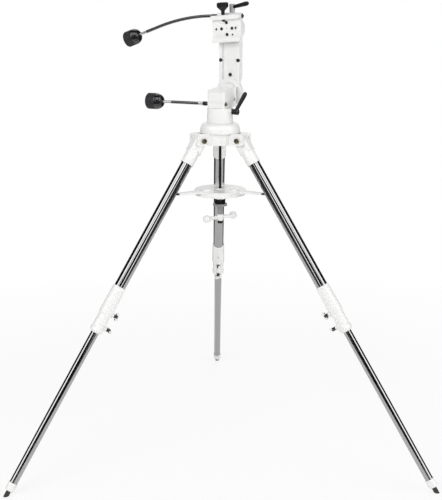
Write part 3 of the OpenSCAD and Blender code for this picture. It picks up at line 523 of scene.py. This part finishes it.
class MOUNT_OT_stage(bpy.types.Operator):
    """Makes the finishes, the camera, the floor and the lights"""

    bl_idname = "mount.stage"
    bl_label = "Stage"

    def execute(self, context):
        scene = context.scene
        scene.view_settings.view_transform = "Standard"
        make_finishes(scene.mount_finishes)
        self.camera(scene)
        self.floor()
        self.sky(scene)
        self.lamps(scene)
        return {"FINISHED"}

    def camera(self, scene):
        camera = bpy.data.objects.new("Camera", bpy.data.cameras.new("Camera"))
        camera.data.lens = CAMERA_LENS
        camera.data.shift_x = CAMERA_SHIFT
        camera.data.clip_end = CAMERA_REACH
        camera.location = CAMERA_PLACE
        level = math.cos(CAMERA_PITCH)
        aim(camera, Vector((math.sin(CAMERA_YAW) * level, math.cos(CAMERA_YAW) * level,
                            -math.sin(CAMERA_PITCH))))
        scene.collection.objects.link(camera)
        scene.camera = camera

    def lamps(self, scene):
        """Soft lamps, which reflections don't show"""
        for name, spot, size, power in LAMPS:
            lamp = bpy.data.lights.new(name, "AREA")
            lamp.size = size
            lamp.energy = power
            obj = bpy.data.objects.new(name, lamp)
            obj.location = spot
            aim(obj, Vector(LAMP_TARGET) - Vector(spot))
            obj.visible_glossy = False
            scene.collection.objects.link(obj)

    def floor(self):
        """Pale floor that keeps the shadow, white further out and dark in far reflections"""
        bm = bmesh.new()
        bmesh.ops.create_grid(
            bm, x_segments=FLOOR_CELLS, y_segments=FLOOR_CELLS, size=FLOOR_HALF)
        obj = link("Floor", bm, Matrix.Translation((0, 0, -FLOOR_DROP)))
        material = bpy.data.materials.new("Pale floor")
        material.use_nodes = True
        tree = material.node_tree
        shader = tree.nodes["Principled BSDF"]
        fill(shader, {"Roughness": FLOOR_ROUGHNESS})
        glow = tree.nodes.new("ShaderNodeEmission")
        ray = tree.nodes.new("ShaderNodeLightPath")
        place = tree.nodes.new("ShaderNodeTexCoord")
        distance = tree.nodes.new("ShaderNodeVectorMath")
        distance.operation = "LENGTH"
        fade = tree.nodes.new("ShaderNodeMapRange")
        fill(fade, {"From Min": WHITE_FROM, "From Max": WHITE_TO, "To Min": WHITE_AT_PART})
        edge = tree.nodes.new("ShaderNodeMapRange")
        fill(edge, {"From Min": DARK_FROM, "From Max": DARK_TO})
        paper = tree.nodes.new("ShaderNodeMix")
        paper.data_type = "RGBA"
        fill(paper, {"A": PAPER, "B": DARK_PAPER})
        mix = tree.nodes.new("ShaderNodeMixShader")
        dark = calc(tree, "MULTIPLY", ray.outputs["Is Glossy Ray"], edge.outputs["Result"])
        seen = calc(tree, "MULTIPLY", ray.outputs["Is Camera Ray"], fade.outputs["Result"])
        join(tree,
             (place.outputs["Object"], distance.inputs[0]),
             (distance.outputs["Value"], fade.inputs["Value"]),
             (distance.outputs["Value"], edge.inputs["Value"]),
             (dark, paper.inputs["Factor"]),
             (paper.outputs["Result"], shader.inputs["Base Color"]),
             (seen, mix.inputs["Fac"]),
             (shader.outputs["BSDF"], mix.inputs[1]),
             (glow.outputs["Emission"], mix.inputs[2]),
             (mix.outputs["Shader"], tree.nodes["Material Output"].inputs["Surface"]))
        obj.data.materials.append(material)

    def sky(self, scene):
        """Even light, white for the camera, and for reflections a dark studio with lamps"""
        world = scene.world or bpy.data.worlds.new("World")
        scene.world = world
        world.use_nodes = True
        tree = world.node_tree
        even = tree.nodes["Background"]
        fill(even, {"Color": WHITE, "Strength": EVEN_LIGHT})
        white, studio = (tree.nodes.new("ShaderNodeBackground") for _ in range(2))
        for node in (white, studio):
            fill(node, {"Color": WHITE})
        place = tree.nodes.new("ShaderNodeTexCoord")
        split = tree.nodes.new("ShaderNodeSeparateXYZ")
        x, y, z = (split.outputs[axis] for axis in "XYZ")
        turn = calc(tree, "ABSOLUTE", calc(tree, "ARCTAN2", x, calc(tree, "MULTIPLY", y, -1)))
        lit = calc(tree, "MULTIPLY", calc(tree, "GREATER_THAN", turn, BACK_TURN), BACK_SHARE)
        for side, width, height, reach in STUDIO_LAMPS:
            lamp = calc(tree, "MULTIPLY", calc(tree, "COMPARE", turn, side, width),
                        calc(tree, "COMPARE", z, height, reach))
            lit = calc(tree, "MAXIMUM", lit, lamp)
        strength = calc(tree, "MULTIPLY_ADD", lit, STUDIO_LIGHT, STUDIO_DARK)
        ray = tree.nodes.new("ShaderNodeLightPath")
        reflected = tree.nodes.new("ShaderNodeMixShader")
        seen = tree.nodes.new("ShaderNodeMixShader")
        join(tree,
             (place.outputs["Generated"], split.inputs["Vector"]),
             (strength, studio.inputs["Strength"]),
             (ray.outputs["Is Glossy Ray"], reflected.inputs["Fac"]),
             (even.outputs["Background"], reflected.inputs[1]),
             (studio.outputs["Background"], reflected.inputs[2]),
             (ray.outputs["Is Camera Ray"], seen.inputs["Fac"]),
             (reflected.outputs["Shader"], seen.inputs[1]),
             (white.outputs["Background"], seen.inputs[2]),
             (seen.outputs["Shader"], tree.nodes["World Output"].inputs["Surface"]))


class MOUNT_OT_cables(MountOperator):
    """Makes the two flexible shafts with their ferrules and knobs"""

    bl_idname = "mount.cables"
    bl_label = "Flexible shafts"

    def tube(self, name, node, points, place):
        """A round sheath along points"""
        curve = bpy.data.curves.new(name, "CURVE")
        curve.dimensions = "3D"
        curve.bevel_depth = self.sizes.cable_diameter / 2
        curve.bevel_resolution = SHEATH_ROUNDNESS
        curve.use_fill_caps = True
        spline = curve.splines.new("POLY")
        spline.points.add(len(points) - 1)
        for target, point in zip(spline.points, points):
            target.co = (*point, 1)
        spline.use_smooth = True
        obj = bpy.data.objects.new(name, curve)
        bpy.context.scene.collection.objects.link(obj)
        obj.matrix_world = place
        return settle(obj, name, node, finish("cable_sheath"))

    def ends(self, ferrule, knob, knob_place):
        """The ferrules and the knob of one shaft"""
        plated = self.machined(ferrule, on_head(), "chrome", "plated")
        outer, inner = FERRULE_BAND
        two_tone(plated, finish("black_plastic"), lambda face: outer < face.center.x < inner)
        moulded = self.machined(knob, knob_place, "knob_dome", "moulded")
        two_tone(moulded, finish("knob_grip"), lambda face: face.center.z > KNOB_DOME)
        return [plated, moulded]

    def execute(self, context):
        azimuth = on_head(AZIMUTH_WORM)
        start, end = AZIMUTH_SHEATH
        last = AZIMUTH_POINTS - 1
        straight = [(start + (end - start) * k / last, 0, 0) for k in range(AZIMUTH_POINTS)]
        lower = self.tube("azimuth_sheath", "azimuth_cable", straight, azimuth)
        altitude = on_head(ALTITUDE_WORM)
        curve = [(x, 0, z) for x, z in ALTITUDE_ROUTE]
        upper = self.tube("altitude_sheath", "altitude_cable", curve, altitude)
        self.ends("azimuth_ferrules", "azimuth_knob",
                                      on_knob(azimuth, AZIMUTH_KNOB, 0))
        self.ends("altitude_ferrule", "altitude_knob",
                                      on_knob(altitude, ALTITUDE_KNOB, ALTITUDE_SLOPE))
        return {"FINISHED"}


class MOUNT_OT_castings(MountOperator):
    """Rounds and paints the white castings of the head, hub and tray"""

    bl_idname = "mount.castings"
    bl_label = "White castings"

    def execute(self, context):
        for node in ("tripod_hub", "tray", "tray_handle"):
            self.casting(node, Matrix())
        for node in ("azimuth_drum", "azimuth_housing", "tilt_arm", "altitude_housing",
                     "saddle_rails"):
            self.casting(node, on_head(), SMALL_CASTING)
        place = on_head(SADDLE) @ turn_about("Y", -SADDLE_ROLL)
        saddle = self.casting("saddle", place, SMALL_CASTING)
        # Painted shade: the small holes' walls and bottoms get a dark finish, partly bare thread
        two_tone(saddle, finish("bare_thread"), self.in_hole)
        return {"FINISHED"}

    @staticmethod
    def in_hole(face):
        """Walls and bottoms of the saddle's small holes, painted dark as bare thread and painted
        shade
        """
        middle = face.center
        return face.area < HOLE_FACE_AREA and any(
            math.hypot(middle.x - x, middle.z - z) < radius * HOLE_ROOM
            for x, z, radius in SADDLE_HOLES)


class MOUNT_OT_legs(MountOperator):
    """Makes the legs with their yokes, tubes, couplers, screws and feet"""

    bl_idname = "mount.legs"
    bl_label = "Legs"

    def execute(self, context):
        for side in LEG_TURNS:
            place = on_leg(side)
            for kind in ("yoke", "coupler", "foot_cap"):
                self.casting(f"{kind}_{side}", place)
            for kind in ("upper_tube", "lower_tube"):
                self.machined(f"{kind}_{side}", place, "tube_steel", "polished")
            rounded(f"foot_tip_{side}", f"foot_tip_{side}_rubber", place, finish("rubber"),
                    self.sizes.casting_edge * SMALL_CASTING)
            for row in ("upper", "lower"):
                screw = self.casting(f"wing_screw_{side}_{row}", place, kind="cast")
                two_tone(screw, finish("black_steel"),
                         lambda face: face.center.x > WING_SCREW_SHANK)
        return {"FINISHED"}


class MOUNT_OT_centre(MountOperator):
    """Makes the threaded centre rod, its collar and hardware"""

    bl_idname = "mount.centre"
    bl_label = "Centre rod"

    def execute(self, context):
        name = "centre_rod_threaded"
        rod = turned(self.thread(), name, Matrix(), ROD_SIDES)
        settle(rod, name, "centre_rod", finish("rod_steel"))
        hardware = self.machined("rod_hardware", Matrix(), "grey_plate", "turned")
        low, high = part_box("tray_handle")
        middle = (low.z + high.z) / 2
        two_tone(hardware, finish("rod_steel"), lambda face: face.center.z < middle)
        self.machined("tray_collar", Matrix(), "black_plastic", "moulded")
        self.machined("tray_pads", Matrix(), "rubber", "rubber")
        self.machined("leg_hinge_bolts", Matrix(), "bolt_steel", "plated")
        return {"FINISHED"}

    def thread(self):
        """Outline of the rod, with a groove for each turn of its thread"""
        low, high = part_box("centre_rod")
        pitch, radius = self.sizes.thread_pitch, high.x
        end, root = radius - ROD_END_STEP, radius - THREAD_DEPTH
        profile = [(0, low.z), (end, low.z)]
        for k in range(int((high.z - low.z - THREAD_ENDS) / pitch)):
            z = low.z + THREAD_START + k * pitch
            profile += [(root, z), (radius, z + pitch * CREST_FROM), (radius, z + pitch * CREST_TO)]
        return profile + [(end, high.z), (0, high.z)]


class MOUNT_OT_drives(MountOperator):
    """Finishes the spindle, wheels, worms, bushes and screws"""

    bl_idname = "mount.drives"
    bl_label = "Worm drives"

    def execute(self, context):
        for node in ("azimuth_spindle", "altitude_worm", "altitude_shaft", "azimuth_wheel",
                     "altitude_wheel", "azimuth_bushes", "altitude_bushes", "arm_screws",
                     "saddle_screws", "azimuth_lever_stud", "altitude_lever_stud"):
            self.machined(node, on_head(), SLOT_OF[node], "turned")
        self.machined("azimuth_worm", on_head(), "bolt_steel", "turned")
        bolts = self.machined("tilt_bolts", on_head(), SLOT_OF["tilt_bolts"], "turned")
        two_tone(bolts, finish("satin_plate"), lambda face: face.center.z < PINCH_SCREW_TOP)
        return {"FINISHED"}


class MOUNT_OT_controls(MountOperator):
    """Finishes the clamp knob and the clamping levers"""

    bl_idname = "mount.controls"
    bl_label = "Knobs and levers"

    def execute(self, context):
        for node in ("clamp_knob", "azimuth_lever"):
            self.machined(node, on_head(), "black_plastic", "moulded")
        lever = self.machined("altitude_lever", on_head(), "black_plastic", "moulded")
        # Painted highlight: the hub gets light satin plate, partly a plated hub
        two_tone(lever, finish("satin_plate"),
                 lambda face: math.hypot(face.center.x, face.center.y - LEVER_Y) < LEVER_HUB)
        return {"FINISHED"}


class MOUNT_PT_panel(bpy.types.Panel):
    """Lists the steps in the sidebar"""

    bl_idname = "MOUNT_PT_panel"
    bl_label = "Telescope mount"
    bl_space_type = "VIEW_3D"
    bl_region_type = "UI"
    bl_category = "Mount"

    def draw(self, context):
        for step in STEPS:
            self.layout.operator(step.bl_idname)
        for group in (context.scene.mount_sizes, context.scene.mount_finishes):
            for name in group.__annotations__:
                self.layout.prop(group, name)


STEPS = (MOUNT_OT_stage, MOUNT_OT_cables, MOUNT_OT_castings, MOUNT_OT_legs, MOUNT_OT_centre,
         MOUNT_OT_drives, MOUNT_OT_controls)
CLASSES = (MountSizes, MountFinishes, *STEPS, MOUNT_PT_panel)


def register():
    for cls in CLASSES:
        bpy.utils.register_class(cls)
    bpy.types.Scene.mount_sizes = bpy.props.PointerProperty(type=MountSizes)
    bpy.types.Scene.mount_finishes = bpy.props.PointerProperty(type=MountFinishes)


def unregister():
    del bpy.types.Scene.mount_finishes
    del bpy.types.Scene.mount_sizes
    for cls in reversed(CLASSES):
        bpy.utils.unregister_class(cls)


def main():
    register()
    for step in STEPS:
        group, name = step.bl_idname.split(".")
        getattr(getattr(bpy.ops, group), name)()


if __name__ == "__main__":
    main()
